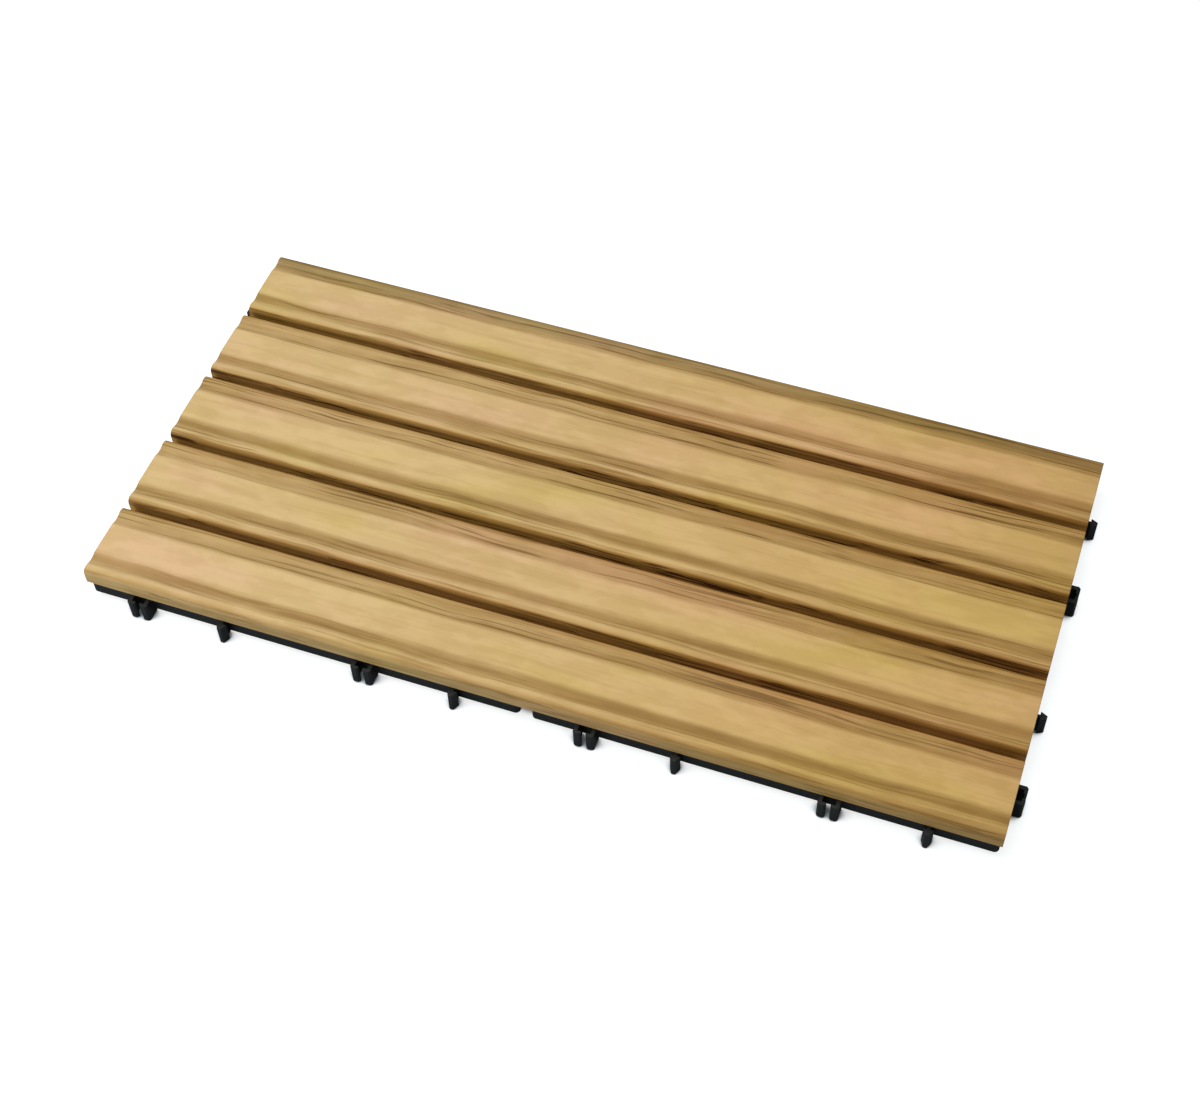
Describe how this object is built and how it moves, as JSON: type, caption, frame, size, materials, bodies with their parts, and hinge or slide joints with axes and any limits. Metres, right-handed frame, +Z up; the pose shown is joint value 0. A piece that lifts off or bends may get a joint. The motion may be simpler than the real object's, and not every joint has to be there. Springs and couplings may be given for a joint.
{
  "type": "grooved floor tile",
  "caption": "Interlocking deck tile: long grooved wooden slats on square ribbed plastic bases, with snap sockets and arrows round the edge.",
  "frame": {"origin": "on the ground, under the middle of the tile", "axes": "+X along the slats, towards the right end of the picture; +Y to the rear; +Z up"},
  "size_m": [0.6072, 0.3072, 0.028],
  "materials": {
    "moulding": "near-black injection-moulded plastic with a dull sheen",
    "timber": "planed honey-coloured timber, dry and matt, with fine lengthwise grain",
    "screw": "dull zinc-plated steel"
  },
  "bodies": {
    "root": {"base_left": "moulding", "base_right": "moulding", "slat_1": "timber", "slat_2": "timber", "slat_3": "timber", "slat_4": "timber", "slat_5": "timber", "screws": "screw"}
  },
  "joints": []
}
